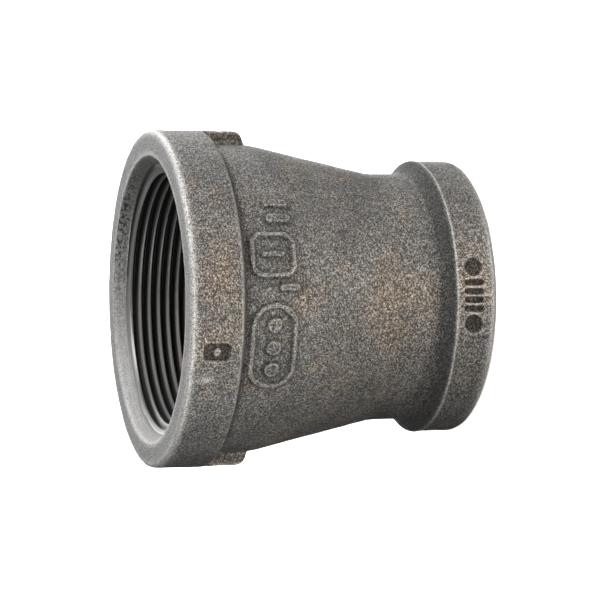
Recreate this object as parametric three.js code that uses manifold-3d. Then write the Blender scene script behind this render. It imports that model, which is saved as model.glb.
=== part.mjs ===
// A reducing coupling for threaded pipe, cast in one piece in malleable iron and tapped at both ends.
// The bore runs along +Z. The small end's face lies on z = 0, with the bore's axis at x = y = 0,
// and the large end faces up. The two ribs are at +X and -X, and the foundry marks face -Y.
// All lengths are in millimetres.
import * as THREE from "three";
import { mergeVertices } from "three/addons/utils/BufferGeometryUtils.js";
import Module from "manifold-3d";

const wasm = await Module();
wasm.setup();

// ---------------------------------------------------------------- driving dimensions

const OVERALL_LENGTH = 71.4; // face to face

// Both ends have 11.5 threads to the inch, right-hand, tapering by 1 in 16 on the diameter.
const THREAD_PITCH = 25.4 / 11.5;
const THREAD_HEIGHT = 0.8 * THREAD_PITCH; // crest to root
const THREAD_TAPER = 1 / 32; // radius lost in each millimetre of depth
const BEVEL_SLOPE = 2; // radius lost in each millimetre of depth, in the machined bevel
const BEVEL_LEAD = 0.15; // depth over which the bevel is wider than the thread's roots
const RUNOUT_SLOPE = 0.7; // how fast the last turns' roots fade out

const LARGE_END = {
  boreRadius: 28.28, // thread crests, taken at the face
  threadDepth: 19.8, // face to the thread's last turn
  mouthWidening: 3.7, // mouth at the face, beyond the crests
  mouthDepth: 2.7, // cast countersink, face to the machined bevel
  bandThickness: 9.37, // crests to the band's outside
  bandWidth: 11.5,
  bodyThickness: 6.25, // crests to the body's outside, beside the band
  bodyLength: 10.8, // straight stretch beside the band
  wall: 4.6, // body's wall past the thread
  flankWidth: 1.1, // length of the slope from the body up to the band
  faceRounding: 1.3, // corner of band and face
  backRounding: 0.6, // corner of band and flank
  footRounding: 1, // inside corner of flank and body
};

const SMALL_END = {
  boreRadius: 21.93,
  threadDepth: 17.5,
  mouthWidening: 3.2,
  mouthDepth: 2.4,
  bandThickness: 8.95,
  bandWidth: 9.4,
  bodyThickness: 6.07,
  bodyLength: 8.4,
  wall: 4,
  flankWidth: 2.8,
  faceRounding: 1.9,
  backRounding: 0.8,
  footRounding: 1.2,
};

const CONE_ROUNDING = 2; // where the cone meets the straight stretches

const RIB_TOP_WIDTH = 6.4;
const RIB_DRAFT = 0.13; // width gained on each side, for each millimetre nearer to the axis
const RIB_DROP = 0.1; // the ribs' tops lie this far under the band
const RIB_SETBACK = 0.8; // the ribs stop this far short of the cone
const RIB_END_ROUNDING = 2.8;

// The foundry marks are plain shapes: each is placed by its depth from the nearer face and by its
// angle round the axis, from -Y towards +X.
const MARK_RELIEF = 0.6; // raised marks stand this proud
const MARK_RECESS = 0.7; // sunk marks are this deep
const RIM_WIDTH = 1.1;
const SQUARE_MARK = { depth: 19.2, angle: 15.5, across: 10.2, along: 10.4, rounding: 3 };
const SQUARE_MARK_BAR = { across: 1.2, along: 5.2, rounding: 0.5 };
const CAPSULE_MARK = { depth: 19.2, angle: -18, across: 19.2, along: 10.6, rounding: 5.2 };
const CAPSULE_DOT = 3.4; // diameter of the discs in the capsule
const CAPSULE_DOT_SPACING = 5;
const PLAIN_BARS = [
  { depth: 21.2, angle: 29.5, across: 2, along: 5.6, rounding: 0.9 },
  { depth: 21.2, angle: 36, across: 2, along: 5.6, rounding: 0.9 },
  { depth: 22.6, angle: 3.6, across: 1.6, along: 4.6, rounding: 0.7 },
];
const PAD_MARK = { depth: 5.9, angle: -17.8, across: 3.8, along: 5.8, rounding: 1 };
const PAD_DOT = 1.8;
const BAND_DOT = 4; // diameter of the outer two sunk marks on the small band
const BAND_DOT_ANGLE = 11.8;
const BAND_BAR = { across: 1.3, along: 4.4, rounding: 0.6 };
const BAND_BAR_ANGLES = [-5.4, -1.8, 1.8, 5.4];
const BAND_MARK_DEPTH = 5.3;

// ---------------------------------------------------------------- fineness

const SEGMENTS = 40; // facets round the axis
const ROUNDING_STEPS = 3; // lines in each rounded corner
const MARK_STEPS = 2; // lines in each eighth of a turn of a mark's outline
const MERGE_DISTANCE = 1e-4;
const HAIR = 1e-3; // keeps a height on its own side of an edge
const OVERLAP = 1; // how far a joined piece reaches into the body

// ---------------------------------------------------------------- places worked out from the above

const largeBandRadius = LARGE_END.boreRadius + LARGE_END.bandThickness;
const largeBodyRadius = LARGE_END.boreRadius + LARGE_END.bodyThickness;
const smallBandRadius = SMALL_END.boreRadius + SMALL_END.bandThickness;
const smallBodyRadius = SMALL_END.boreRadius + SMALL_END.bodyThickness;

const largeBandBack = OVERALL_LENGTH - LARGE_END.bandWidth;
const coneTop = largeBandBack - LARGE_END.bodyLength;
const smallFlankTop = SMALL_END.bandWidth + SMALL_END.flankWidth;
const coneBottom = smallFlankTop + SMALL_END.bodyLength;

// A height from a depth below the large end's face, or a depth from a height.
const fromLargeFace = (distance) => OVERALL_LENGTH - distance;

// The body's outside radius at a height, with its corners left sharp.
function outsideRadius(z) {
  if (z < SMALL_END.bandWidth) return smallBandRadius;
  if (z > largeBandBack) return largeBandRadius;
  const share = THREE.MathUtils.clamp((z - coneBottom) / (coneTop - coneBottom), 0, 1);
  return THREE.MathUtils.lerp(smallBodyRadius, largeBodyRadius, share);
}

// ---------------------------------------------------------------- solids

function solidFrom(geometry) {
  geometry.deleteAttribute("normal");
  geometry.deleteAttribute("uv");
  const merged = mergeVertices(geometry, MERGE_DISTANCE);
  const corners = merged.index.array;
  const triVerts = [];
  for (let i = 0; i < corners.length; i += 3) {
    const [a, b, c] = corners.slice(i, i + 3);
    if (a !== b && b !== c && c !== a) triVerts.push(a, b, c);
  }
  const vertProperties = merged.getAttribute("position").array;
  return new wasm.Manifold(
    new wasm.Mesh({ numProp: 3, vertProperties, triVerts: new Uint32Array(triVerts) }),
  );
}

function geometryFrom(solid) {
  const mesh = solid.getMesh();
  const geometry = new THREE.BufferGeometry();
  geometry.setAttribute("position", new THREE.BufferAttribute(mesh.vertProperties, 3));
  geometry.setIndex(new THREE.BufferAttribute(mesh.triVerts, 1));
  geometry.computeVertexNormals();
  return geometry;
}

// Corners are [radius, height, rounding]. The outline runs up the outside of what it turns.
function roundedOutline(corners) {
  const path = new THREE.Path();
  corners.forEach(([radius, height, rounding], i) => {
    const corner = new THREE.Vector2(radius, height);
    if (!rounding) {
      if (i === 0) path.moveTo(radius, height);
      else path.lineTo(radius, height);
      return;
    }
    const towards = (other) =>
      corner.clone().add(
        new THREE.Vector2(other[0], other[1]).sub(corner).setLength(rounding),
      );
    const start = towards(corners[i - 1]);
    const end = towards(corners[i + 1]);
    path.lineTo(start.x, start.y);
    path.quadraticCurveTo(radius, height, end.x, end.y);
  });
  return path.getPoints(ROUNDING_STEPS);
}

// Turns a closed outline about the axis, which becomes +Z.
function turned(outline) {
  return solidFrom(new THREE.LatheGeometry(outline, SEGMENTS).rotateX(Math.PI / 2));
}

// ---------------------------------------------------------------- threads

// The bore's radius at a depth from an end's face, on the thread's root or on its crest.
function threadRadius(end, depth, isRoot) {
  const crest = end.boreRadius - THREAD_TAPER * depth;
  const tooth = crest + (isRoot ? THREAD_HEIGHT : 0);
  const bevel = crest + THREAD_HEIGHT + BEVEL_SLOPE * (end.mouthDepth + BEVEL_LEAD - depth);
  const runout = crest + RUNOUT_SLOPE * (end.threadDepth - depth);
  return Math.min(Math.max(tooth, bevel), runout);
}

// One row of points along a thread for each half pitch: crests and roots in turn. A row climbs one
// pitch in a turn, so it meets the row two above it, and rows that leave the thread stay on its end.
function threadRows(end, lowest, highest, depthAt) {
  const count = Math.ceil((2 * (highest - lowest)) / THREAD_PITCH);
  const rows = [];
  for (let row = count; row >= -2; row--) {
    const placeAt = (turn) => {
      const climbed = lowest + (THREAD_PITCH * (row + 2 * turn)) / 2;
      const z = THREE.MathUtils.clamp(climbed, lowest, highest);
      return { radius: threadRadius(end, depthAt(z), row % 2 !== 0), z };
    };
    const { radius, z } = placeAt(0);
    rows.push(Object.assign(new THREE.Vector2(radius, z), { placeAt }));
  }
  return rows;
}

// ---------------------------------------------------------------- the body

function outsideCorners() {
  return [
    [SMALL_END.boreRadius + SMALL_END.mouthWidening, 0, 0],
    [smallBandRadius, 0, SMALL_END.faceRounding],
    [smallBandRadius, SMALL_END.bandWidth, SMALL_END.backRounding],
    [smallBodyRadius, smallFlankTop, SMALL_END.footRounding],
    [smallBodyRadius, coneBottom, CONE_ROUNDING],
    [largeBodyRadius, coneTop, CONE_ROUNDING],
    [largeBodyRadius, largeBandBack - LARGE_END.flankWidth, LARGE_END.footRounding],
    [largeBandRadius, largeBandBack, LARGE_END.backRounding],
    [largeBandRadius, OVERALL_LENGTH, LARGE_END.faceRounding],
    [LARGE_END.boreRadius + LARGE_END.mouthWidening, OVERALL_LENGTH, 0],
  ];
}

// The cored waterway between the threads, from the large end down.
function waterway() {
  const largeCrest = LARGE_END.boreRadius - THREAD_TAPER * LARGE_END.threadDepth;
  const smallCrest = SMALL_END.boreRadius - THREAD_TAPER * SMALL_END.threadDepth;
  const largeRadius = largeBodyRadius - LARGE_END.wall;
  const smallRadius = smallBodyRadius - SMALL_END.wall;
  const largeStep = largeRadius - largeCrest;
  const smallStep = smallRadius - smallCrest;
  return [
    new THREE.Vector2(largeRadius, fromLargeFace(LARGE_END.threadDepth + largeStep)),
    new THREE.Vector2(smallRadius, SMALL_END.threadDepth + smallStep),
  ];
}

function body() {
  const outline = [
    ...roundedOutline(outsideCorners()),
    ...threadRows(
      LARGE_END,
      fromLargeFace(LARGE_END.threadDepth),
      fromLargeFace(LARGE_END.mouthDepth),
      fromLargeFace,
    ),
    ...waterway(),
    ...threadRows(SMALL_END, SMALL_END.mouthDepth, SMALL_END.threadDepth, (z) => z),
  ];
  outline.push(outline[0]);
  const lathe = new THREE.LatheGeometry(outline, SEGMENTS);
  const position = lathe.getAttribute("position");
  outline.forEach(({ placeAt }, j) => {
    if (!placeAt) return;
    for (let i = 0; i <= SEGMENTS; i++) {
      const { radius, z } = placeAt(i / SEGMENTS);
      const angle = (2 * Math.PI * (i % SEGMENTS)) / SEGMENTS;
      const index = i * outline.length + j;
      position.setXYZ(index, radius * Math.sin(angle), z, radius * Math.cos(angle));
    }
  });
  return solidFrom(lathe.rotateX(Math.PI / 2));
}

// ---------------------------------------------------------------- the ribs

// Two ribs on the mould's parting line, cut out of one turned ring by a drafted slab.
function ribs() {
  const foot = largeBodyRadius - OVERLAP;
  const top = largeBandRadius - RIB_DROP;
  const start = largeBandBack + OVERLAP;
  const end = coneTop + RIB_SETBACK;
  const ring = turned(
    roundedOutline([
      [foot, end, 0],
      [largeBodyRadius, end, 0],
      [top, end + RIB_DROP, RIB_END_ROUNDING],
      [top, start, 0],
      [foot, start, 0],
      [foot, end, 0],
    ]),
  );
  const half = RIB_TOP_WIDTH / 2;
  const middle = half + RIB_DRAFT * largeBandRadius;
  const reach = largeBandRadius + OVERLAP;
  const slab = new THREE.ExtrudeGeometry(
    new THREE.Shape([
      new THREE.Vector2(-reach, -half),
      new THREE.Vector2(0, -middle),
      new THREE.Vector2(reach, -half),
      new THREE.Vector2(reach, half),
      new THREE.Vector2(0, middle),
      new THREE.Vector2(-reach, half),
    ]),
    { depth: OVERALL_LENGTH, bevelEnabled: false },
  );
  return ring.intersect(solidFrom(slab));
}

// ---------------------------------------------------------------- the foundry marks

function roundedRectangle(Kind, across, along, rounding) {
  const [x, y] = [across / 2, along / 2];
  const r = Math.min(rounding, x, y);
  const shape = new Kind();
  shape.moveTo(r - x, -y);
  shape.lineTo(x - r, -y);
  shape.absarc(x - r, r - y, r, -Math.PI / 2, 0);
  shape.lineTo(x, y - r);
  shape.absarc(x - r, y - r, r, 0, Math.PI / 2);
  shape.lineTo(r - x, y);
  shape.absarc(r - x, y - r, r, Math.PI / 2, Math.PI);
  shape.lineTo(-x, r - y);
  shape.absarc(r - x, r - y, r, Math.PI, 1.5 * Math.PI);
  return shape;
}

function rim({ across, along, rounding }) {
  const shape = roundedRectangle(THREE.Shape, across, along, rounding);
  const inset = 2 * RIM_WIDTH;
  shape.holes.push(
    roundedRectangle(THREE.Path, across - inset, along - inset, rounding - RIM_WIDTH),
  );
  return shape;
}

const bar = ({ across, along, rounding }) =>
  roundedRectangle(THREE.Shape, across, along, rounding);

const disc = (diameter) => roundedRectangle(THREE.Shape, diameter, diameter, diameter / 2);

// Heights past the edge of a band, or past the end of the body between the bands, come back to it,
// so that a mark keeps to the stretch it sits on.
function onSameStretch(height, z) {
  const edges = [0, SMALL_END.bandWidth, largeBandBack, OVERALL_LENGTH];
  const above = edges.findIndex((edge) => edge > z);
  return THREE.MathUtils.clamp(height, edges[above - 1] + HAIR, edges[above] - HAIR);
}

// The part of a thin skin, from low to high over the body's outside, that lies behind a flat shape
// which faces straight out at the given angle and height.
function onSurface(shape, z, angle, low, high) {
  const reach = largeBandRadius + OVERALL_LENGTH;
  const prism = new THREE.ExtrudeGeometry(shape, {
    depth: reach,
    bevelEnabled: false,
    curveSegments: MARK_STEPS,
  });
  prism.rotateX(Math.PI / 2);
  prism.rotateZ(THREE.MathUtils.degToRad(angle));
  prism.translate(0, 0, z);
  prism.computeBoundingBox();
  const [bottom, top] = [prism.boundingBox.min.z - OVERLAP, prism.boundingBox.max.z + OVERLAP];
  const bends = [coneBottom, coneTop].filter((bend) => bend > bottom && bend < top);
  const skin = (offset) =>
    [bottom, ...bends, top].map((height) => {
      const nearest = onSameStretch(height, z);
      return new THREE.Vector2(outsideRadius(nearest) + offset, height);
    });
  const outline = [...skin(high), ...skin(low).reverse()];
  outline.push(outline[0]);
  return turned(outline).intersect(solidFrom(prism));
}

const raised = (shape, z, angle) => onSurface(shape, z, angle, -OVERLAP, MARK_RELIEF);

const sunk = (shape, z, angle) => onSurface(shape, z, angle, -MARK_RECESS, OVERLAP);

function bodyMarks() {
  const square = fromLargeFace(SQUARE_MARK.depth);
  const capsule = fromLargeFace(CAPSULE_MARK.depth);
  const marks = [
    raised(rim(SQUARE_MARK), square, SQUARE_MARK.angle),
    raised(bar(SQUARE_MARK_BAR), square, SQUARE_MARK.angle),
    raised(rim(CAPSULE_MARK), capsule, CAPSULE_MARK.angle),
  ];
  for (const step of [-1, 0, 1]) {
    const turn = (step * CAPSULE_DOT_SPACING) / outsideRadius(capsule);
    const angle = CAPSULE_MARK.angle + THREE.MathUtils.radToDeg(turn);
    marks.push(raised(disc(CAPSULE_DOT), capsule, angle));
  }
  for (const plain of PLAIN_BARS) {
    marks.push(raised(bar(plain), fromLargeFace(plain.depth), plain.angle));
  }
  return marks;
}

function smallBandMarks() {
  const marks = [-BAND_DOT_ANGLE, BAND_DOT_ANGLE].map((angle) =>
    sunk(disc(BAND_DOT), BAND_MARK_DEPTH, angle),
  );
  for (const angle of BAND_BAR_ANGLES) {
    marks.push(sunk(bar(BAND_BAR), BAND_MARK_DEPTH, angle));
  }
  return marks;
}

function padMark() {
  const z = fromLargeFace(PAD_MARK.depth);
  return sunk(bar(PAD_MARK), z, PAD_MARK.angle).subtract(
    onSurface(disc(PAD_DOT), z, PAD_MARK.angle, -OVERLAP, OVERLAP),
  );
}

// ---------------------------------------------------------------- the finished casting

function casting() {
  let solid = body().add(ribs());
  for (const mark of bodyMarks()) solid = solid.add(mark);
  for (const mark of [...smallBandMarks(), padMark()]) solid = solid.subtract(mark);
  return solid;
}

const castIron = new THREE.MeshStandardMaterial({
  color: 0x5d5a56,
  roughness: 0.62,
  metalness: 0.55,
});

const coupling = new THREE.Mesh(geometryFrom(casting()), castIron);
coupling.name = "coupling_casting";

const group = new THREE.Group();
group.add(coupling);

export default group;
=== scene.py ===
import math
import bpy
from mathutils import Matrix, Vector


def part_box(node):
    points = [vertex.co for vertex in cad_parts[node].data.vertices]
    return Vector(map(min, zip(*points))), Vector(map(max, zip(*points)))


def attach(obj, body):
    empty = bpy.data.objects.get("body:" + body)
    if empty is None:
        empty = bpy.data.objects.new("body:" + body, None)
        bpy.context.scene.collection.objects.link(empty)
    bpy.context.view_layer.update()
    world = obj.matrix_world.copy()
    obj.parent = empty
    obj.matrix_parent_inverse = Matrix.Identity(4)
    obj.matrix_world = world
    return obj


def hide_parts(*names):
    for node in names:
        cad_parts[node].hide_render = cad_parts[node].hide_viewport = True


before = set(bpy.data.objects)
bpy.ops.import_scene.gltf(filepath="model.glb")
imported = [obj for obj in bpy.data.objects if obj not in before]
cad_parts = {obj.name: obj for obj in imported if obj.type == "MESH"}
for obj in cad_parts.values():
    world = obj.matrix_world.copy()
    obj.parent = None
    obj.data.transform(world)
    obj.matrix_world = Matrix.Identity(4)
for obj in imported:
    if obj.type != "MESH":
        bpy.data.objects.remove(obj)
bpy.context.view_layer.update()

# The looks of a cast-iron reducing coupling: one closed skin with its cast surface, foundry marks and
# threads, one cast-iron material, and a plain studio. The bore runs along +Z, the small end's face lies
# on z = 0, the ribs are at +X and -X, and the foundry marks face -Y. Lengths are in millimetres, and
# angles are in degrees from -Y towards +X, unless a name or comment says otherwise.
from types import SimpleNamespace

import bpy
import numpy as np
from mathutils import Matrix, Vector, noise

NODE = "coupling_casting"
METRES = 0.001  # one millimetre, in metres

# ------------------------------------- sizes, as in the CAD part unless a comment says otherwise

node_low, node_high = (np.array(corner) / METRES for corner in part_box(NODE))
LENGTH = node_high[2] - node_low[2]
BAND_RADIUS = (node_high[0] - node_low[0]) / 2

THREAD_PITCH = 25.4 / 11.5
THREAD_HEIGHT = 0.8 * THREAD_PITCH  # as pipe threads have
THREAD_TAPER = 1 / 32  # how much the radius shrinks for each millimetre of depth
CREST_FLAT = 0.14  # share of the pitch on a thread's crest, and in its root
ROOT_FLAT = 0.05
THREAD_FLANK = (1 - CREST_FLAT - ROOT_FLAT) / 2  # and on each side between them
THREAD_SIDE_SLOPE = math.sqrt(3)  # the two sides of a thread meet at 60 degrees
BEVEL_SLOPE = 2
BEVEL_LEAD = 0.15
RUNOUT_SLOPE = 0.7

LARGE_RING_THICKNESS = 9.37  # from the bore out to the large band
LARGE_BAND_RISE = 3.12  # from the body out to the large band
LARGE = SimpleNamespace(
    bore_radius=BAND_RADIUS - LARGE_RING_THICKNESS,
    thread_depth=19.8,
    mouth_widening=3.7,
    mouth_depth=2.7,
    band_radius=BAND_RADIUS,
    band_width=11.5,
    body_radius=BAND_RADIUS - LARGE_BAND_RISE,
    body_length=10.8,
    wall=4.6,
    flank_width=1.1,
    face_rounding=1.3,
    back_rounding=0.6,
    foot_rounding=1,
)
SMALL = SimpleNamespace(
    bore_radius=21.93,
    thread_depth=17.5,
    mouth_widening=3.2,
    mouth_depth=2.4,
    band_radius=30.88,
    band_width=9.4,
    body_radius=28,
    body_length=8.4,
    wall=4,
    flank_width=2.8,
    face_rounding=1.9,
    back_rounding=0.4,  # sharper than in the CAD part, for the lip
    foot_rounding=2,  # rounder than in the CAD part
)
CONE_ROUNDING = 2
MOUTH_ROUNDING = 0.45
WATERWAY_ROUNDING = 1.2
LIP_RISE = 0.22  # the small band's back edge stands up as a lip, which the CAD part leaves out
LIP_WIDTH = 0.9

large_back = LENGTH - LARGE.band_width
cone_top = large_back - LARGE.body_length
small_flank_top = SMALL.band_width + SMALL.flank_width
cone_bottom = small_flank_top + SMALL.body_length

RIB_FOOT_WIDTH = 7.6
RIB_EDGE = 1.1  # width of a rib's side, from its foot to the flat top
RIB_DROP = 0.1  # a rib stands this much lower than the large band
RIB_SETBACK = 0.8  # a rib's end stands this far back from the cone
RIB_END_ROUNDING = 2.8
RIB_ANGLE = 90

MARK_RELIEF = 0.6
MARK_RECESS = 0.7
MARK_EDGE = 0.34  # width of the soft edge round a mark
MARK_WOBBLE = 0.16  # how far a mark's edge strays, and over what distance
WOBBLE_SIZE = 1.3
MARK_REACH = 90  # a mark is looked for only within this angle of its middle
RIM_WIDTH = 1.1

# Generic marks: depth from the large end's face, angle, size across and along, and corner rounding.
SQUARE_MARK = SimpleNamespace(depth=19.2, angle=15.5, across=10.2, along=10.4, rounding=3)
SQUARE_MARK_BAR = SimpleNamespace(depth=19.2, angle=15.5, across=1.2, along=5.2, rounding=0.5)
CAPSULE_MARK = SimpleNamespace(depth=19.2, angle=-18, across=19.2, along=10.6, rounding=5.2)
CAPSULE_DOT = 3.4
CAPSULE_DOT_SPACING = 5
PLAIN_BARS = [
    SimpleNamespace(depth=21.2, angle=29.5, across=2, along=5.6, rounding=0.9),
    SimpleNamespace(depth=21.2, angle=36, across=2, along=5.6, rounding=0.9),
    SimpleNamespace(depth=22.6, angle=3.6, across=1.6, along=4.6, rounding=0.7),
]
PAD_MARK = SimpleNamespace(depth=5.9, angle=-17.8, across=3.8, along=5.8, rounding=1)
PAD_DOT = 1.8
BAND_DOT = 4
BAND_DOT_ANGLE = 11.8
BAND_BAR = SimpleNamespace(across=1.3, along=4.4, rounding=0.6)
BAND_BAR_ANGLES = [-5.4, -1.8, 1.8, 5.4]
BAND_MARK_DEPTH = 5.3  # of the small band's marks, from the small end's face

# ---------------------------------------------------------------- painted shade, wear with painted highlights, and stains

# Brown stains: depth from the large end's face, angle, and reach along the bore and round it.
STAINS = [
    SimpleNamespace(depth=6.5, angle=8, along=5, across=9),
    SimpleNamespace(depth=5.5, angle=-16, along=5, across=5),
    SimpleNamespace(depth=25, angle=-1, along=4, across=4),
    SimpleNamespace(depth=49, angle=-5, along=9, across=10),
    SimpleNamespace(depth=66, angle=3, along=5, across=9),
    SimpleNamespace(depth=40, angle=150, along=12, across=12),
    SimpleNamespace(depth=8, angle=-130, along=6, across=14),
    SimpleNamespace(depth=62, angle=115, along=8, across=11),
]

# Pale scuffs, in the same terms.
SCUFFS = [
    SimpleNamespace(depth=3.9, angle=-27.5, along=1.7, across=0.8),
    SimpleNamespace(depth=66.5, angle=-105, along=2.4, across=0.9),
]
SCUFF_STRENGTH = 0.45

# Dark streaks that the tool left on the countersinks, in the same terms.
CHATTER = [
    SimpleNamespace(depth=1, angle=146, along=1.7, across=20),
    SimpleNamespace(depth=70.4, angle=-60, along=1.7, across=14),
]

# Worn edges of the outline, with painted highlights on them: where each lies, how far the wear and highlight
# reach, and how strong they are.
WORN_AND_HIGHLIT_EDGES = [
    SimpleNamespace(radius=LARGE.band_radius, height=LENGTH, reach=0.95, strength=1),
    SimpleNamespace(
        radius=LARGE.bore_radius + LARGE.mouth_widening, height=LENGTH, reach=0.5, strength=0.6
    ),
    SimpleNamespace(radius=LARGE.band_radius, height=large_back, reach=0.5, strength=0.1),
    SimpleNamespace(
        radius=SMALL.band_radius + LIP_RISE, height=SMALL.band_width, reach=0.36, strength=0.8
    ),
    SimpleNamespace(radius=SMALL.band_radius, height=0, reach=1.2, strength=0.7),
    SimpleNamespace(
        radius=SMALL.bore_radius + SMALL.mouth_widening, height=0, reach=0.5, strength=0.6
    ),
]
UNWORN_UNHIGHLIT_RIB = 0.5  # edges get no wear and no painted highlight where a rib has risen by this share

MARK_SHELTER = 0.3  # marks stand in shelter: how much less wear and painted highlight they have, and how far round them
SHELTER_REACH = 0.5

HOLLOW_REACH = 2.6  # hollows are found by averaging the outline over this distance each way
HOLLOW_DEPTH = 0.3  # a hollow this deep gets full painted shade
MARK_SHADE_REACH = 0.65  # how far painted shade reaches from a raised mark
# painted shade along the feet of the ribs
RIB_FOOT_SHADE = 0.8
COUNTERSINK_TURNED = 0.45  # share of bare turned metal on the countersinks
END_OIL_AND_SHADE = 0.3  # oil and painted shade on a thread's two end rings, where 1 is the oil and painted shade in its roots

# The share of a normal that points a certain way, where a part of the skin begins and where it is full.
WALL_FADE = (0.7, 0.95)  # outwards
SINK_FADE = (0.1, 0.4)  # inwards
FACE_FADE = (0.5, 0.9)  # along the bore, either way
SHELF_FADE = (0.1, 0.5)  # along the bore, away from the small end
WALL_NORMAL = 0.9  # rows on a wall point outwards by more than this

# ---------------------------------------------------------------- relief of the cast surface

CAST_BUMPS = [(0.07, 9), (0.05, 3.6), (0.045, 1.7)]  # height and size
NOISE_SHIFT = (17.3, 5.7, 9.1)  # how far apart the noises of two seeds are taken
WOBBLE_SEED = len(CAST_BUMPS) + 1
FACE_CALM = 0.2  # how much smoother the faces are than the rest, and how much rougher the ribs are
RIB_ROUGHNESS = 0.8
CORED_BUMPS = 1.4  # bumps in the waterway, compared with the outside, and on machined metal
TURNED_BUMPS = 0.12
CORED_GRAIN = 1.2  # the grain's relief there, and on machined metal
TURNED_GRAIN = 0.1
# shares of painted shade and of brown stain in the cored waterway
CORED_SHADE = 0.3
CORED_STAIN = 0.4

# ---------------------------------------------------------------- fineness of the skin

FINE_ANGLE = 0.43  # between columns at the marks, elsewhere, and at the ribs' sides
PLAIN_ANGLE = 1.7
RIB_SIDE_ANGLE = 0.4
RIB_SIDE_REACH = 0.8  # how far the columns of a rib's side spread, in widths of the side
INNER_COLUMNS = 150
FINE_STEP = 0.28  # between rows at the marks and the ribs, in corners, elsewhere, and inside
CORNER_STEP = 0.33
PLAIN_STEP = 0.9
INNER_STEP = 1.6
DENSE = 0.02  # spacing of the points from which rows and columns are picked
CORNER_POINTS = 13
CORNER_BEND = 0.3  # an outline is in a corner where its bend, from 0 to 1, is more than this
NORMAL_REACH = 0.1  # normals are averaged over this distance each way
SAME_PLACE = 1e-9  # points this close are one
SEAM_DEPTH = 0.3  # the outer skin ends this far short of the machined bevel
MARKED_ANGLES = (-40, 44)  # where the marks are
MARKED_HEIGHTS = [(2.6, 8), (46.2, 58.4), (62.2, 68.8)]
WELD_DECIMALS = 5
BEND_SMOOTHINGS = 2
SHARP_ANGLE = 58
MAP_GAP = 1  # between the skins on the unrolled map, and the share left free round the map
MAP_MARGIN = 0.002

# ---------------------------------------------------------------- outlines and rows


def smooth(low, high, value):
    """0 below low and 1 above high, with a smooth rise between."""
    share = np.clip((value - low) / (high - low), 0, 1)
    return share * share * (3 - 2 * share)


def spread(places, steps):
    """Places picked from dense ones, so that each lies about a step from the next."""
    counts = np.cumsum(np.diff(places) / ((steps[1:] + steps[:-1]) / 2))
    counts = np.concatenate([[0], counts])
    wanted = np.linspace(0, counts[-1], math.ceil(counts[-1]) + 1)
    return np.interp(wanted, counts, places)


def rounded(corners):
    """Dense points along an outline of (radius, height, rounding) corners: distance, radius, height, bend."""
    points = [np.array(corners[0][:2])]
    bends = [0.0]
    for before, corner, after in zip(corners, corners[1:], corners[2:]):
        tip = np.array(corner[:2])
        start, end = (
            tip + (np.array(other[:2]) - tip) / math.dist(other[:2], tip) * corner[2]
            for other in (before, after)
        )
        for t in np.linspace(0, 1, CORNER_POINTS):
            points.append((1 - t) ** 2 * start + 2 * t * (1 - t) * tip + t * t * end)
            bends.append(1.0 if 0 < t < 1 else 0.0)
    points.append(np.array(corners[-1][:2]))
    bends.append(0.0)
    points = np.array(points)
    gaps = np.hypot(*np.diff(points, axis=0).T)
    keep = np.concatenate([[True], gaps > SAME_PLACE])
    points, bends = points[keep], np.array(bends)[keep]
    along = np.concatenate([[0], np.cumsum(np.hypot(*np.diff(points, axis=0).T))])
    dense = np.linspace(0, along[-1], math.ceil(along[-1] / DENSE) + 1)
    radius, height = (np.interp(dense, along, points[:, k]) for k in (0, 1))
    bend = np.interp(dense, along, bends)
    return dense, radius, height, bend


def normals_along(dense, radius, height):
    """The outward normals of an outline that keeps the metal on its left."""
    window = round(NORMAL_REACH / DENSE)
    kernel = np.ones(2 * window + 1) / (2 * window + 1)
    slopes = []
    for values in (radius, height):
        slope = np.gradient(values, dense)
        padded = np.pad(slope, window, mode="edge")
        slopes.append(np.convolve(padded, kernel, mode="valid"))
    length = np.hypot(*slopes)
    return slopes[1] / length, -slopes[0] / length


def hollows_along(dense, radius, height, normal_r, normal_z):
    """How deep an outline lies in a hollow, from 0 on flats and edges to 1 in a tight inside corner."""
    window = round(HOLLOW_REACH / DENSE)
    kernel = np.hanning(2 * window + 1)
    kernel /= kernel.sum()
    depth = 0
    for values, normal in ((radius, normal_r), (height, normal_z)):
        padded = np.pad(values, window, mode="reflect", reflect_type="odd")
        depth = depth + (np.convolve(padded, kernel, mode="valid") - values) * normal
    return np.clip(depth / HOLLOW_DEPTH, 0, 1)


def bore_radius(end, depth, share):
    """The radius of the threaded bore at a depth from the end's face. share is 0 on crests, 1 in roots."""
    crest = end.bore_radius - THREAD_TAPER * depth
    tooth = crest + share * THREAD_FLANK * THREAD_PITCH * THREAD_SIDE_SLOPE
    bevel = crest + THREAD_HEIGHT + BEVEL_SLOPE * (end.mouth_depth + BEVEL_LEAD - depth)
    runout = crest + RUNOUT_SLOPE * (end.thread_depth - depth)
    return np.minimum(np.maximum(tooth, bevel), runout)


def countersink(end, depth):
    """(radius, depth) on the cast countersink of an end."""
    mouth = end.bore_radius + end.mouth_widening
    foot = float(bore_radius(end, end.mouth_depth, 0))
    return mouth + (foot - mouth) * depth / end.mouth_depth, depth


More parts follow.
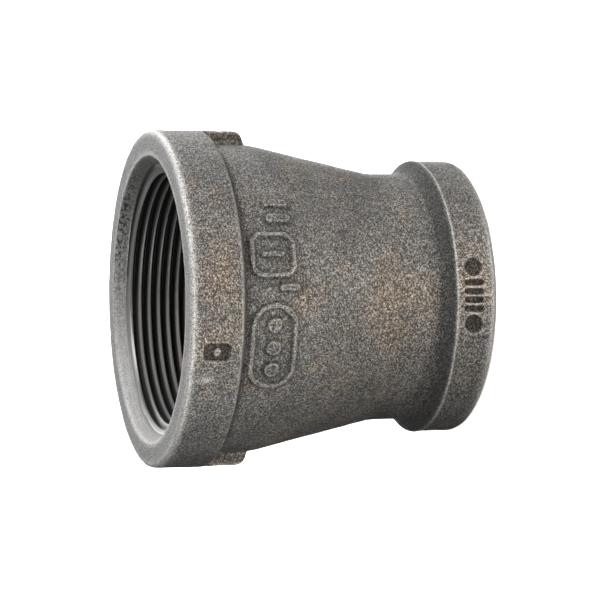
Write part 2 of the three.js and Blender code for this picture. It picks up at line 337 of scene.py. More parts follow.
def outside_corners():
    """The outside's corners, as (radius, height, rounding), from the small end to the large end."""
    small_sink, small_depth = countersink(SMALL, SMALL.mouth_depth - SEAM_DEPTH)
    large_sink, large_depth = countersink(LARGE, LARGE.mouth_depth - SEAM_DEPTH)
    return [
        (small_sink, small_depth, 0),
        (SMALL.bore_radius + SMALL.mouth_widening, 0, MOUTH_ROUNDING),
        (SMALL.band_radius, 0, SMALL.face_rounding),
        (SMALL.band_radius, SMALL.band_width - LIP_WIDTH, LIP_WIDTH / 3),
        (SMALL.band_radius + LIP_RISE, SMALL.band_width, SMALL.back_rounding),
        (SMALL.body_radius, small_flank_top, SMALL.foot_rounding),
        (SMALL.body_radius, cone_bottom, CONE_ROUNDING),
        (LARGE.body_radius, cone_top, CONE_ROUNDING),
        (LARGE.body_radius, large_back - LARGE.flank_width, LARGE.foot_rounding),
        (LARGE.band_radius, large_back, LARGE.back_rounding),
        (LARGE.band_radius, LENGTH, LARGE.face_rounding),
        (LARGE.bore_radius + LARGE.mouth_widening, LENGTH, MOUTH_ROUNDING),
        (large_sink, LENGTH - large_depth, 0),
    ]


def waterway_corners():
    """The corners of the cored waterway between the threads, from the large end down."""
    large_radius = LARGE.body_radius - LARGE.wall
    small_radius = SMALL.body_radius - SMALL.wall
    large_crest = LARGE.bore_radius - THREAD_TAPER * LARGE.thread_depth
    small_crest = SMALL.bore_radius - THREAD_TAPER * SMALL.thread_depth
    large_end = LENGTH - LARGE.thread_depth
    return [
        (large_crest, large_end, 0),
        (large_radius, large_end - (large_radius - large_crest), WATERWAY_ROUNDING),
        (small_radius, SMALL.thread_depth + small_radius - small_crest, WATERWAY_ROUNDING),
        (small_crest, SMALL.thread_depth, 0),
    ]


def columns():
    """The angles of the outer skin's columns, close together at the marks and at the ribs' sides."""
    dense = np.linspace(-180, 180, round(360 / DENSE) + 1)
    steps = np.full(len(dense), PLAIN_ANGLE)
    steps[(dense > MARKED_ANGLES[0]) & (dense < MARKED_ANGLES[1])] = FINE_ANGLE
    reach = np.degrees(RIB_FOOT_WIDTH / 2 / LARGE.body_radius)
    edge = np.degrees(RIB_EDGE / LARGE.body_radius)
    off_side = np.abs(np.abs(np.abs(dense) - RIB_ANGLE) - reach + edge / 2)
    steps[off_side < RIB_SIDE_REACH * edge] = RIB_SIDE_ANGLE
    return spread(dense, steps)


def closed(angle):
    """The angles of a ring's points, with the last point exactly on the first."""
    return np.append(angle[:-1], angle[0])


# ---------------------------------------------------------------- what stands on the outside


def outside_of(x, y, shape):
    """How far points lie outside a rounded rectangle, less than 0 inside it."""
    rounding = min(shape.rounding, shape.across / 2, shape.along / 2)
    a = np.abs(x) - shape.across / 2 + rounding
    b = np.abs(y) - shape.along / 2 + rounding
    corner = np.hypot(np.maximum(a, 0), np.maximum(b, 0))
    return corner + np.minimum(np.maximum(a, b), 0) - rounding


def covered(distance):
    """1 well inside a shape and 0 well outside it, with the soft edge of a casting between."""
    return 1 - smooth(-MARK_EDGE / 2, MARK_EDGE / 2, distance)


def mark_distance(grid, shape, height, angle):
    """How far points lie outside a shape at a height and an angle. LENGTH stands for far away."""
    x = grid.radius * np.sin(np.radians(grid.angle - angle))
    far = np.abs(grid.angle - angle) > MARK_REACH
    return np.where(far, LENGTH, outside_of(x, grid.height - height, shape))


def disc(diameter):
    return SimpleNamespace(across=diameter, along=diameter, rounding=diameter / 2)


def rim_distance(grid, shape):
    """How far points lie outside a rim that runs along the inside of a mark's edge."""
    outer = mark_distance(grid, shape, LENGTH - shape.depth, shape.angle)
    return np.abs(outer + RIM_WIDTH / 2) - RIM_WIDTH / 2


def raised_marks(grid):
    """How far points lie outside the nearest raised mark."""
    distances = [rim_distance(grid, SQUARE_MARK), rim_distance(grid, CAPSULE_MARK)]
    for bar in [SQUARE_MARK_BAR] + PLAIN_BARS:
        distances.append(mark_distance(grid, bar, LENGTH - bar.depth, bar.angle))
    for step in (-1, 0, 1):
        turn = math.degrees(step * CAPSULE_DOT_SPACING / LARGE.body_radius)
        place = LENGTH - CAPSULE_MARK.depth, CAPSULE_MARK.angle + turn
        distances.append(mark_distance(grid, disc(CAPSULE_DOT), *place))
    return np.min(distances, axis=0)


def sunk_marks(grid):
    """How far points lie outside the nearest sunk mark."""
    distances = [
        mark_distance(grid, disc(BAND_DOT), BAND_MARK_DEPTH, side * BAND_DOT_ANGLE)
        for side in (-1, 1)
    ]
    for angle in BAND_BAR_ANGLES:
        distances.append(mark_distance(grid, BAND_BAR, BAND_MARK_DEPTH, angle))
    place = LENGTH - PAD_MARK.depth, PAD_MARK.angle
    pad = mark_distance(grid, PAD_MARK, *place)
    dot = mark_distance(grid, disc(PAD_DOT), *place)
    distances.append(np.maximum(pad, -dot))
    return np.min(distances, axis=0)


def rib_lift(grid):
    """How far the ribs stand out from the outline, and how much of a point is on a rib."""
    x = grid.radius * np.sin(np.radians(np.abs(grid.angle) - RIB_ANGLE))
    side = np.clip((RIB_FOOT_WIDTH / 2 - np.abs(x)) / RIB_EDGE, 0, 1)
    end = np.clip((grid.height - cone_top - RIB_SETBACK) / RIB_END_ROUNDING, 0, 1)
    share = (1 - (1 - side) ** 3) * (2 * np.sqrt(end) - end) * (grid.height < large_back)
    top = LARGE.band_radius - RIB_DROP
    reach = LARGE.body_radius + share * (top - LARGE.body_radius)
    return np.maximum(0, reach - grid.radius) * (share > 0), share


# ---------------------------------------------------------------- the cast surface


def wave(points, size, seed):
    """Smooth noise of about -1 to 1 with bumps of the given size."""
    shift = Vector([seed * step for step in NOISE_SHIFT])
    return np.array([noise.noise(Vector(point) / size + shift) for point in points])


def cast_bumps(points):
    """How far the casting's uneven surface stands out from its drawn shape."""
    return sum(
        height * wave(points, size, seed) for seed, (height, size) in enumerate(CAST_BUMPS, 1)
    )


def cylinder_points(angle, radius, height):
    turn = np.radians(angle)
    return np.stack([radius * np.sin(turn), -radius * np.cos(turn), height], -1)


def patched(grid, patches):
    """How much of a point lies on soft round patches, from 0 to 1."""
    share = np.zeros(grid.angle.shape)
    for patch in patches:
        turn = (grid.angle - patch.angle + 180) % 360 - 180
        x = grid.radius * np.radians(turn) / patch.across
        y = (grid.height - LENGTH + patch.depth) / patch.along
        share = np.maximum(share, np.exp(-(x * x + y * y)))
    return share


def outer_rows():
    """The rows of the outer skin, as columns of numbers: place, normal, hollow and share of wall."""
    dense, radius, height, bend = rounded(outside_corners())
    normal_r, normal_z = normals_along(dense, radius, height)
    steps = np.where(bend > CORNER_BEND, CORNER_STEP, PLAIN_STEP)
    on_wall = normal_r > WALL_NORMAL
    for low, high in MARKED_HEIGHTS + [(cone_top, large_back)]:
        steps[on_wall & (height > low) & (height < high)] = FINE_STEP
    along = spread(dense, steps)
    outline = dict(
        radius=radius,
        height=height,
        normal_r=normal_r,
        normal_z=normal_z,
        hollow=hollows_along(dense, radius, height, normal_r, normal_z),
    )
    picked = {name: np.interp(along, dense, values)[:, None] for name, values in outline.items()}
    wall = smooth(*WALL_FADE, picked["normal_r"])
    return SimpleNamespace(along=along[:, None], wall=wall, **picked)


def painted_shade_over(rows, from_raised, raised, sunk, rib_share):
    """Painted shade in hollows and sunk marks, beside raised marks and ribs, and on the small band's flank.
    """
    beside_mark = np.exp(-np.maximum(from_raised, 0) / MARK_SHADE_REACH) * (1 - raised)
    beside_rib = RIB_FOOT_SHADE * 4 * rib_share * (1 - rib_share)
    near_flank = (rows.height > SMALL.band_width) & (rows.height < cone_bottom)
    up_flank = np.clip((rows.height - SMALL.band_width) / (2 * SMALL.flank_width), 0, 1)
    shelf = smooth(*SHELF_FADE, rows.normal_z) * near_flank * (1 - up_flank**2)
    parts = (rows.hollow, sunk, beside_mark * rows.wall, beside_rib, shelf)
    return np.max(np.broadcast_arrays(*parts), axis=0)


def wear_and_highlight_over(rows, grid, rib_share):
    """Wear with painted highlights on the outline's edges, away from the ribs, and wear on the scuffs."""
    wear_and_highlight = np.zeros(rows.height.shape)
    for edge in WORN_AND_HIGHLIT_EDGES:
        away = np.hypot(rows.radius - edge.radius, rows.height - edge.height) / edge.reach
        wear_and_highlight = np.maximum(wear_and_highlight, edge.strength * np.exp(-away * away))
    return np.maximum(wear_and_highlight * (rib_share < UNWORN_UNHIGHLIT_RIB), SCUFF_STRENGTH * patched(grid, SCUFFS))


def outer_skin():
    """Rings of points over the outside, from the small end's countersink to the large end's."""
    rows = outer_rows()
    angle = columns()
    shape = (len(rows.along), len(angle))
    grid = SimpleNamespace(
        angle=np.broadcast_to(closed(angle), shape),
        radius=np.broadcast_to(rows.radius, shape),
        height=np.broadcast_to(rows.height, shape),
    )
    drawn = cylinder_points(grid.angle, grid.radius, grid.height).reshape(-1, 3)
    wobble = MARK_WOBBLE * wave(drawn, WOBBLE_SIZE, WOBBLE_SEED).reshape(shape)
    from_raised, from_sunk = raised_marks(grid) + wobble, sunk_marks(grid) + wobble
    raised, sunk = covered(from_raised) * rows.wall, covered(from_sunk) * rows.wall
    from_mark = np.maximum(np.minimum(from_raised, from_sunk), 0)
    near_mark = np.exp(-from_mark / SHELTER_REACH) * rows.wall
    lift, rib_share = rib_lift(grid)
    at_ends = (rows.height < SMALL.mouth_depth) | (rows.height > LENGTH - LARGE.mouth_depth)
    sink = smooth(*SINK_FADE, -rows.normal_r) * at_ends
    face = np.maximum(smooth(*FACE_FADE, np.abs(rows.normal_z)), sink) * np.ones(shape)
    rough = 1 - FACE_CALM * face + RIB_ROUGHNESS * rib_share
    ribbed = cylinder_points(grid.angle, grid.radius + lift, grid.height)
    bumps = cast_bumps(ribbed[:, :-1].reshape(-1, 3)).reshape(shape[0], -1)
    bumps = np.concatenate([bumps, bumps[:, :1]], axis=1)
    out = MARK_RELIEF * raised - MARK_RECESS * sunk + rough * bumps
    points = cylinder_points(
        grid.angle, grid.radius + lift + out * rows.normal_r, grid.height + out * rows.normal_z
    )
    return SimpleNamespace(
        points=points,
        angle=angle,
        machined=COUNTERSINK_TURNED * sink * np.ones(shape),
        root=np.zeros(shape),
        rough=rough,
        face=face,
        painted_shade=painted_shade_over(rows, from_raised, raised, sunk, rib_share),
        stain=patched(grid, STAINS),
        wear_and_highlight=wear_and_highlight_over(rows, grid, rib_share),
        sheltered=MARK_SHELTER * near_mark,
        chattered=sink * patched(grid, CHATTER),
        along=np.broadcast_to(rows.along, shape),
    )


# ---------------------------------------------------------------- the threads and the waterway


def thread_rings(end, lowest, highest, depth_at, turns):
    """Rings along a thread, from its top down. A ring climbs one pitch in a turn, between two levels."""
    form = [  # phase within the pitch, and share of the way from crest to root
        (-CREST_FLAT / 2, 0),
        (CREST_FLAT / 2, 0),
        ((CREST_FLAT + THREAD_FLANK) / 2, 0.5),
        ((1 - ROOT_FLAT) / 2, 1),
        ((1 + ROOT_FLAT) / 2, 1),
        ((2 - CREST_FLAT - THREAD_FLANK) / 2, 0.5),
    ]
    rings = []
    for turn in range(-2, math.ceil((highest - lowest) / THREAD_PITCH) + 2):
        for phase, share in form:
            height = np.clip(
                lowest + THREAD_PITCH * (turn + phase + turns - 0.5), lowest, highest
            )
            radius = bore_radius(end, depth_at(height), share)
            inside = (height > lowest) & (height < highest)
            rings.append((radius, height, np.where(inside, share, END_OIL_AND_SHADE)))
    return rings[::-1]


def inner_skin():
    """Rings of points down the bore, from the large end's bevel to the small end's."""
    angle = np.linspace(-180, 180, INNER_COLUMNS + 1)
    turns = (angle + 180) / 360
    dense, radius, height, bend = rounded(waterway_corners())
    rows = spread(dense, np.where(bend > CORNER_BEND, 2 * CORNER_STEP, INNER_STEP))[1:-1]
    flat = np.ones(len(angle))
    waterway = [
        tuple(np.interp(row, dense, values) * flat for values in (radius, height)) + (0 * flat,)
        for row in rows
    ]
    large = thread_rings(
        LARGE, LENGTH - LARGE.thread_depth, LENGTH - LARGE.mouth_depth, lambda z: LENGTH - z, turns
    )
    small = thread_rings(SMALL, SMALL.mouth_depth, SMALL.thread_depth, lambda z: z, turns)
    rings = large + waterway + small
    radius, height, root = (np.array(values) for values in zip(*rings))
    cored = np.concatenate([np.zeros(len(large)), np.ones(len(waterway)), np.zeros(len(small))])
    cored = cored[:, None] * np.ones(len(angle))
    points = cylinder_points(closed(angle), radius, height)
    bumps = cast_bumps(points.reshape(-1, 3)).reshape(radius.shape)
    bumps *= TURNED_BUMPS + CORED_BUMPS * cored
    points = cylinder_points(closed(angle), radius - bumps, height)
    distance = np.hypot(np.diff(radius, axis=0), np.diff(height, axis=0)).mean(axis=1)
    along = np.concatenate([[0], np.cumsum(distance)])
    return SimpleNamespace(
        points=points,
        angle=angle,
        machined=1 - cored,
        root=root,
        rough=CORED_GRAIN * cored + TURNED_GRAIN,
        face=np.zeros(radius.shape),
        painted_shade=CORED_SHADE * cored,
        stain=CORED_STAIN * cored,
        wear_and_highlight=np.zeros(radius.shape),
        sheltered=np.zeros(radius.shape),
        chattered=np.zeros(radius.shape),
        along=along[:, None] * np.ones(len(angle)),
    )


# ---------------------------------------------------------------- joining the skin into one mesh


def sheet_faces(first, rings, across):
    """Triangles over a sheet of rings, each with the same number of points."""
    ids = first + np.arange(rings * across).reshape(rings, across)
    a, b, c, d = ids[:-1, :-1], ids[:-1, 1:], ids[1:, 1:], ids[1:, :-1]
    return np.concatenate([np.stack(t, -1).reshape(-1, 3) for t in ((a, b, c), (a, c, d))])


def strip_faces(upper, upper_angle, lower, lower_angle):
    """Triangles between two rings that have different numbers of points."""
    i = j = 0
    faces = []
    while i < len(upper) - 1 or j < len(lower) - 1:
        at_end = j == len(lower) - 1
        if at_end or (i < len(upper) - 1 and upper_angle[i + 1] <= lower_angle[j + 1]):
            faces.append((upper[i], upper[i + 1], lower[j]))
            i += 1
        else:
            faces.append((upper[i], lower[j + 1], lower[j]))
            j += 1
    return np.array(faces)


def bending(points, faces):
    """How convex the skin is at each point, in 1/mm: less than 0 in hollows."""
    edges = np.sort(np.concatenate([faces[:, [0, 1]], faces[:, [1, 2]], faces[:, [2, 0]]]), axis=1)
    edges = np.unique(edges, axis=0)
    corners = points[faces]
    across = np.cross(corners[:, 1] - corners[:, 0], corners[:, 2] - corners[:, 0])
    normal = np.zeros_like(points)
    for k in range(3):
        np.add.at(normal, faces[:, k], across)
    normal /= np.linalg.norm(normal, axis=1)[:, None]
    total = np.zeros(len(points))
    count = np.zeros(len(points))
    for a, b in ((0, 1), (1, 0)):
        step = points[edges[:, b]] - points[edges[:, a]]
        fall = -(step * normal[edges[:, a]]).sum(1) / (step**2).sum(1)
        np.add.at(total, edges[:, a], fall)
        np.add.at(count, edges[:, a], 1)
    result = total / count
    for _ in range(BEND_SMOOTHINGS):
        total = result * count
        for a, b in ((0, 1), (1, 0)):
            np.add.at(total, edges[:, a], result[edges[:, b]])
        result = total / (2 * count)
    return result


# What the material reads at each point: shares from 0 to 1, and how rough the grain is.
MASKS = ("machined", "root", "rough", "face", "painted_shade", "stain", "wear_and_highlight", "sheltered", "chattered")


def layers(outer, inner, name):
    """The outer skin's values, the inner skin's, and those of the outer skin's first ring again."""
    values = getattr(outer, name)
    return values, getattr(inner, name), values[:1]


def skin_faces(outer, inner):
    """Triangles over both skins and the strips that join them, on points in the order of layers()."""
    outer_rings, outer_across = outer.points.shape[:2]
    inner_rings, inner_across = inner.points.shape[:2]
    first_inner = outer_rings * outer_across
    first_again = first_inner + inner_rings * inner_across
    outer_ring, inner_ring = np.arange(outer_across), np.arange(inner_across)
    return np.concatenate([
        sheet_faces(0, outer_rings, outer_across),
        sheet_faces(first_inner, inner_rings, inner_across),
        strip_faces(
            first_inner - outer_across + outer_ring, outer.angle, first_inner + inner_ring, inner.angle
        ),
        strip_faces(
            first_again - inner_across + inner_ring, inner.angle, first_again + outer_ring, outer.angle
        ),
    ])


def unrolled(outer, inner):
    """The section's length up to each point, and a map with the section along v and the turn along u."""
    outer_along = outer.along[:, 0]
    inner_along = inner.along[:, 0] + outer_along[-1] + MAP_GAP
    total = inner_along[-1] + MAP_GAP
    along = np.concatenate([
        np.repeat(outer_along, len(outer.angle)),
        np.repeat(inner_along, len(inner.angle)),
        np.full(len(outer.angle), total),
    ])
    turn = np.concatenate([
        np.tile(outer.angle, len(outer_along)),
        np.tile(inner.angle, len(inner_along)),
        outer.angle,
    ])
    uv = np.stack([(turn + 180) / 360, along / total], -1)
    return along, uv * (1 - 2 * MAP_MARGIN) + MAP_MARGIN


def weld(points, faces):
    """Which points to keep where several are one, and the faces on the points kept and as they were."""
    _, keep, real = np.unique(
        np.round(points, WELD_DECIMALS) + 0.0, axis=0, return_index=True, return_inverse=True
    )
    welded = real.ravel()[faces]
    whole = (welded != np.roll(welded, 1, axis=1)).all(axis=1)
    return keep, welded[whole], faces[whole]


def build_mesh():
    """The whole skin as one closed mesh, with its masks and its unrolled map."""
    outer, inner = outer_skin(), inner_skin()
    points = np.concatenate([part.reshape(-1, 3) for part in layers(outer, inner, "points")])
    along, uv = unrolled(outer, inner)
    keep, welded, faces = weld(points, skin_faces(outer, inner))
    values = {
        name: np.concatenate([part.ravel() for part in layers(outer, inner, name)])[keep]
        for name in MASKS
    }
    values["along"] = along[keep]
    values["bending"] = bending(points[keep], welded)
    mesh = bpy.data.meshes.new("coupling_skin")
    mesh.vertices.add(len(keep))
    mesh.vertices.foreach_set("co", (points[keep] * METRES).astype(np.float32).ravel())
    mesh.loops.add(welded.size)
    mesh.loops.foreach_set("vertex_index", welded.astype(np.int32).ravel())
    mesh.polygons.add(len(welded))
    mesh.polygons.foreach_set("loop_start", np.arange(0, welded.size, 3, dtype=np.int32))
    mesh.update(calc_edges=True)
    for name, numbers in values.items():
        layer = mesh.attributes.new(name, "FLOAT", "POINT")
        layer.data.foreach_set("value", numbers.astype(np.float32))
    layer = mesh.uv_layers.new(name="OFBake")
    layer.uv.foreach_set("vector", uv[faces].astype(np.float32).ravel())
    mesh.validate()
    mesh.polygons.foreach_set("use_smooth", np.ones(len(mesh.polygons), dtype=bool))
    mesh.set_sharp_from_angle(angle=math.radians(SHARP_ANGLE))
    return mesh


# ---------------------------------------------------------------- the material

# Noises: scale for each millimetre, detail and roughness.
FINE_NOISE = (2.8, 2.0, 0.6)
MIDDLE_NOISE = (1.0, 2.0, 0.5)
SHADE_NOISE = (0.09, 4.0, 0.6)
STAIN_NOISE = (0.13, 4.0, 0.65)
CHATTER_NOISE = (38.0, 3.0, 0.6)  # over the direction from the bore, and not over millimetres
CHATTER_DRIFT = 0.035  # how fast that direction's noise changes along the section
LINES_SCALE = 6.0  # of the turning lines, along the section
LINES_DETAIL = 2.0
SPECKS_SCALE = 1.9
FINE_SHARE = 0.84  # of the grain: the middle noise has the rest

# A pair is the range over which a noise or a mask takes effect, unless its comment says otherwise.
SPECK_CHOICE = (0.5, 0.85)
SPECK_EDGE = (0.15, 0.45)
STAINED_NOISE = (0.32, 0.5)
LOOSE_STAINS = (0.52, 0.68)
LOOSE_BROWN = 0.7
RIB_RANGE = (1.05, 1.6)
SHADE_RANGE = (0.35, 0.65)
SHADES = (0.82, 1.15)  # the least and the most of the slow change in shade
GRAIN_RANGE = (0.35, 0.65)

# Colours of the grain, from its pits to its tips: on the skin, where it is brown, and on the faces.
SKIN_COLOURS = [
    (0.38, (0.014, 0.0137, 0.0133)),
    (0.50, (0.062, 0.060, 0.057)),
    (0.63, (0.240, 0.234, 0.223)),
]
BROWN_COLOURS = [
    (0.38, (0.019, 0.015, 0.0115)),
    (0.50, (0.088, 0.069, 0.053)),
    (0.63, (0.350, 0.295, 0.235)),
]
FACE_COLOURS = [(0.38, (0.055, 0.0545, 0.054)), (0.62, (0.185, 0.183, 0.18))]
FACE_COVER = 0.85
GLINT = (0.40, 0.395, 0.38, 1)
BROWN_GLINT = (0.56, 0.51, 0.44, 1)
GLINT_STRENGTHS = (0.4, 0.9)  # on the plain skin and on brown skin

# Wear with painted highlights on the edges, and wear on the scuffs
WORN_AND_HIGHLIT_COLOUR = (0.66, 0.65, 0.63, 1)
WORN_AND_HIGHLIT_COVER = 0.9
WORN_BEND = (0.14, 0.5)
WORN_BEND_MOST = 0.6
WORN_GRAIN = (0.38, 0.54)
WORN_PITS = 0.35  # the share of wear and painted highlight that the grain's pits have
# Painted shade in small hollows and over its mask
SHADE_BEND = (-0.15, -0.8)
SHADE_GRAIN = (0.4, 0.62)
SHADE_TIPS = 0.8  # the share of painted shade that the grain's tips have
FULL_SHADE_LEFT = 0.16  # the share of the colour that is left under full painted shade

TURNED_COLOURS = [(0.3, (0.24, 0.238, 0.233)), (0.7, (0.42, 0.416, 0.406))]
# oil and painted shade over the threads' flanks and roots
OIL_AND_SHADE_COLOUR = (0.03, 0.029, 0.028, 1)
OIL_AND_SHADE_ROOT = (0.02, 0.45)
CHATTER_COLOUR = (0.02, 0.0195, 0.019, 1)
CHATTER_RANGE = (0.48, 0.58)

SKIN_ROUGHNESS = (0.66, 0.42)  # of the grain's pits and tips
WORN_ROUGHNESS = 0.38
SHADED_ROUGHNESS = 0.8
TURNED_ROUGHNESS = 0.42
SKIN_METALLIC = (0.25, 0.55)  # of the grain's pits and tips
WORN_METALLIC = 0.7
TURNED_METALLIC = 0.75
FINE_RELIEF = 0.32  # millimetres, for the fine grain, the middle grain and the specks
MIDDLE_RELIEF = 0.13
SPECK_RELIEF = 0.06


class Nodes:
    """Adds shader nodes and links them, so that a material reads as formulas."""

    def __init__(self, tree):
        self.tree = tree

    def add(self, kind, inputs=(), **settings):
        made = self.tree.nodes.new(kind)
        for name, value in settings.items():
            setattr(made, name, value)
        for name, value in dict(inputs).items():
            self.put(made.inputs[name], value)
        return made

    def put(self, socket, value):
        if isinstance(value, bpy.types.NodeSocket):
            self.tree.links.new(value, socket)
        else:
            socket.default_value = value

    def maths(self, operation, a, b):
        return self.add("ShaderNodeMath", {0: a, 1: b}, operation=operation).outputs[0]

    def times(self, a, b):
        return self.maths("MULTIPLY", a, b)

    def most(self, a, b):
        return self.maths("MAXIMUM", a, b)

    def scaled(self, vector, scale):
        inputs = {0: vector, "Scale": scale}
        return self.add("ShaderNodeVectorMath", inputs, operation="SCALE").outputs[0]

    def attribute(self, name):
        return self.add("ShaderNodeAttribute", attribute_name=name).outputs["Fac"]

    def noise(self, place, scale, detail, roughness):
        inputs = {"Vector": place, "Scale": scale, "Detail": detail, "Roughness": roughness}
        return self.add("ShaderNodeTexNoise", inputs).outputs["Fac"]

    def fit(self, value, low, high, to_low=0.0, to_high=1.0):
        """to_low at low and to_high at high, with a straight line between and no change beyond."""
        inputs = {"Value": value, 1: low, 2: high, 3: to_low, 4: to_high}
        return self.add("ShaderNodeMapRange", inputs, clamp=True).outputs["Result"]

    def mix(self, share, a, b):
        made = self.add("ShaderNodeMix", data_type="RGBA")
        self.put(made.inputs["Factor"], share)
        self.put(made.inputs[6], a)
        self.put(made.inputs[7], b)
        return made.outputs[2]

    def mix_value(self, share, a, b):
        made = self.add("ShaderNodeMix", data_type="FLOAT")
        self.put(made.inputs["Factor"], share)
        self.put(made.inputs[2], a)
        self.put(made.inputs[3], b)
        return made.outputs[0]

    def ramp(self, value, stops):
        made = self.add("ShaderNodeValToRGB", {"Fac": value})
        elements = made.color_ramp.elements
        while len(elements) < len(stops):
            elements.new(0.5)
        for element, (place, colour) in zip(elements, stops):
            element.position = place
            element.color = (*colour, 1)
        return made.outputs["Color"]

    def bump(self, height, distance, normal=None):
        inputs = {"Height": height, "Distance": distance * METRES, "Strength": 1.0}
        made = self.add("ShaderNodeBump", inputs)
        if normal is not None:
            self.put(made.inputs["Normal"], normal)
        return made.outputs["Normal"]


def cast_grain(n, place):
    """The fine and the middle grain, the two together, and lone bright specks."""
    fine = n.noise(place, *FINE_NOISE)
    middle = n.noise(place, *MIDDLE_NOISE)
    both = n.maths("ADD", n.times(fine, FINE_SHARE), n.times(middle, 1 - FINE_SHARE))
    cells = n.add("ShaderNodeTexVoronoi", {"Vector": place, "Scale": SPECKS_SCALE, "Randomness": 1.0})
    chosen = n.add("ShaderNodeSeparateColor", {0: cells.outputs["Color"]}).outputs[0]
    near_middle = n.fit(cells.outputs["Distance"], *SPECK_EDGE, 1.0, 0.0)
    speck = n.times(near_middle, n.fit(chosen, *SPECK_CHOICE))
    return SimpleNamespace(fine=fine, middle=middle, both=both, speck=speck)


def brown_share(n, place, mask):
    """How brown the skin is: on its stains, in loose patches, and on the ribs."""
    patches = n.noise(place, *STAIN_NOISE)
    stained = n.times(mask["stain"], n.fit(patches, *STAINED_NOISE))
    loose = n.fit(patches, *LOOSE_STAINS, 0.0, LOOSE_BROWN)
    return n.most(n.most(stained, loose), n.fit(mask["rough"], *RIB_RANGE))


def skin_colour(n, place, mask, grain):
    """The cast skin before wear, painted highlights and painted shade: dark, with a bright grain, and greyer
    on the faces.
    """
    brown = brown_share(n, place, mask)
    skin = n.mix(brown, n.ramp(grain.both, SKIN_COLOURS), n.ramp(grain.both, BROWN_COLOURS))
    skin = n.scaled(skin, n.fit(n.noise(place, *SHADE_NOISE), *SHADE_RANGE, *SHADES))
    glinting = n.times(grain.speck, n.fit(brown, 0.0, 1.0, *GLINT_STRENGTHS))
    skin = n.mix(glinting, skin, n.mix(brown, GLINT, BROWN_GLINT))
    return n.mix(n.times(mask["face"], FACE_COVER), skin, n.ramp(grain.both, FACE_COLOURS))


def wear_and_highlight_share(n, mask, grain):
    """How much wear and painted highlight the skin has: on its edges, less near the marks, and most on the
    grain's tips.
    """
    exposed = n.maths("SUBTRACT", 1.0, mask["sheltered"])
    worn_and_highlit = n.times(n.fit(mask["bending"], *WORN_BEND, 0.0, WORN_BEND_MOST), exposed)
    return n.times(n.most(worn_and_highlit, mask["wear_and_highlight"]), n.fit(grain.both, *WORN_GRAIN, WORN_PITS, 1.0))


def painted_shade_share(n, mask, grain):
    """How much painted shade darkens the skin: where its mask lies and in small hollows, a little less on the
    grain's tips.
    """
    shaded = n.most(mask["painted_shade"], n.fit(mask["bending"], *SHADE_BEND))
    return n.times(shaded, n.fit(grain.both, *SHADE_GRAIN, 1.0, SHADE_TIPS))


def turned_colour(n, mask):
    """Bare metal with turning lines, dark with oil and painted shade on the threads' flanks and in their
    roots.
    """
    inputs = {"W": mask["along"], "Scale": LINES_SCALE, "Detail": LINES_DETAIL}
    lines = n.add("ShaderNodeTexNoise", inputs, noise_dimensions="1D").outputs["Fac"]
    return n.mix(n.fit(mask["root"], *OIL_AND_SHADE_ROOT), n.ramp(lines, TURNED_COLOURS), OIL_AND_SHADE_COLOUR)


def chatter_share(n, place, mask):
    """Dark streaks across the countersinks, spaced round the bore."""
    level = n.add("ShaderNodeVectorMath", {0: place, 1: (1.0, 1.0, 0.0)}, operation="MULTIPLY")
    outward = n.add("ShaderNodeVectorMath", {0: level.outputs[0]}, operation="NORMALIZE")
    drift = n.add("ShaderNodeCombineXYZ", {"Z": n.times(mask["along"], CHATTER_DRIFT)})
    both = n.add("ShaderNodeVectorMath", {0: outward.outputs[0], 1: drift.outputs[0]}, operation="ADD")
    streaks = n.noise(both.outputs[0], *CHATTER_NOISE)
    return n.times(n.fit(streaks, *CHATTER_RANGE), mask["chattered"])


def cast_iron():
    """Dark cast skin with a sandy grain, lighter where it is worn and highlights are painted, darker where
    shade is painted, and bare turned metal in the bores.
    """
    material = bpy.data.materials.new("cast_iron")
    material.use_nodes = True
    material.node_tree.nodes.clear()
    n = Nodes(material.node_tree)
    place = n.scaled(n.add("ShaderNodeTexCoord").outputs["Object"], 1 / METRES)
    mask = {name: n.attribute(name) for name in MASKS + ("bending", "along")}
    grain = cast_grain(n, place)
    worn_and_highlit = wear_and_highlight_share(n, mask, grain)
    shaded = painted_shade_share(n, mask, grain)

    colour = skin_colour(n, place, mask, grain)
    # wear and painted highlights lighten the colour
    colour = n.mix(n.times(worn_and_highlit, WORN_AND_HIGHLIT_COVER), colour, WORN_AND_HIGHLIT_COLOUR)
    # painted shade darkens the colour
    colour = n.scaled(colour, n.fit(shaded, 0.0, 1.0, 1.0, FULL_SHADE_LEFT))
    colour = n.mix(mask["machined"], colour, turned_colour(n, mask))
    colour = n.mix(chatter_share(n, place, mask), colour, CHATTER_COLOUR)

    roughness = n.fit(grain.both, *GRAIN_RANGE, *SKIN_ROUGHNESS)
    roughness = n.mix_value(worn_and_highlit, roughness, WORN_ROUGHNESS)
    roughness = n.mix_value(shaded, roughness, SHADED_ROUGHNESS)
    roughness = n.mix_value(mask["machined"], roughness, TURNED_ROUGHNESS)
    metallic = n.fit(grain.both, *GRAIN_RANGE, *SKIN_METALLIC)
    metallic = n.mix_value(worn_and_highlit, metallic, WORN_METALLIC)
    metallic = n.mix_value(mask["machined"], metallic, TURNED_METALLIC)

    normal = n.bump(n.times(grain.fine, mask["rough"]), FINE_RELIEF)
    normal = n.bump(n.times(grain.middle, mask["rough"]), MIDDLE_RELIEF, normal)
    normal = n.bump(n.times(grain.speck, mask["rough"]), SPECK_RELIEF, normal)
    inputs = {"Base Color": colour, "Roughness": roughness, "Metallic": metallic, "Normal": normal}
    shader = n.add("ShaderNodeBsdfPrincipled", inputs)
    n.add("ShaderNodeOutputMaterial", {"Surface": shader.outputs[0]})
    return material


# ---------------------------------------------------------------- the studio

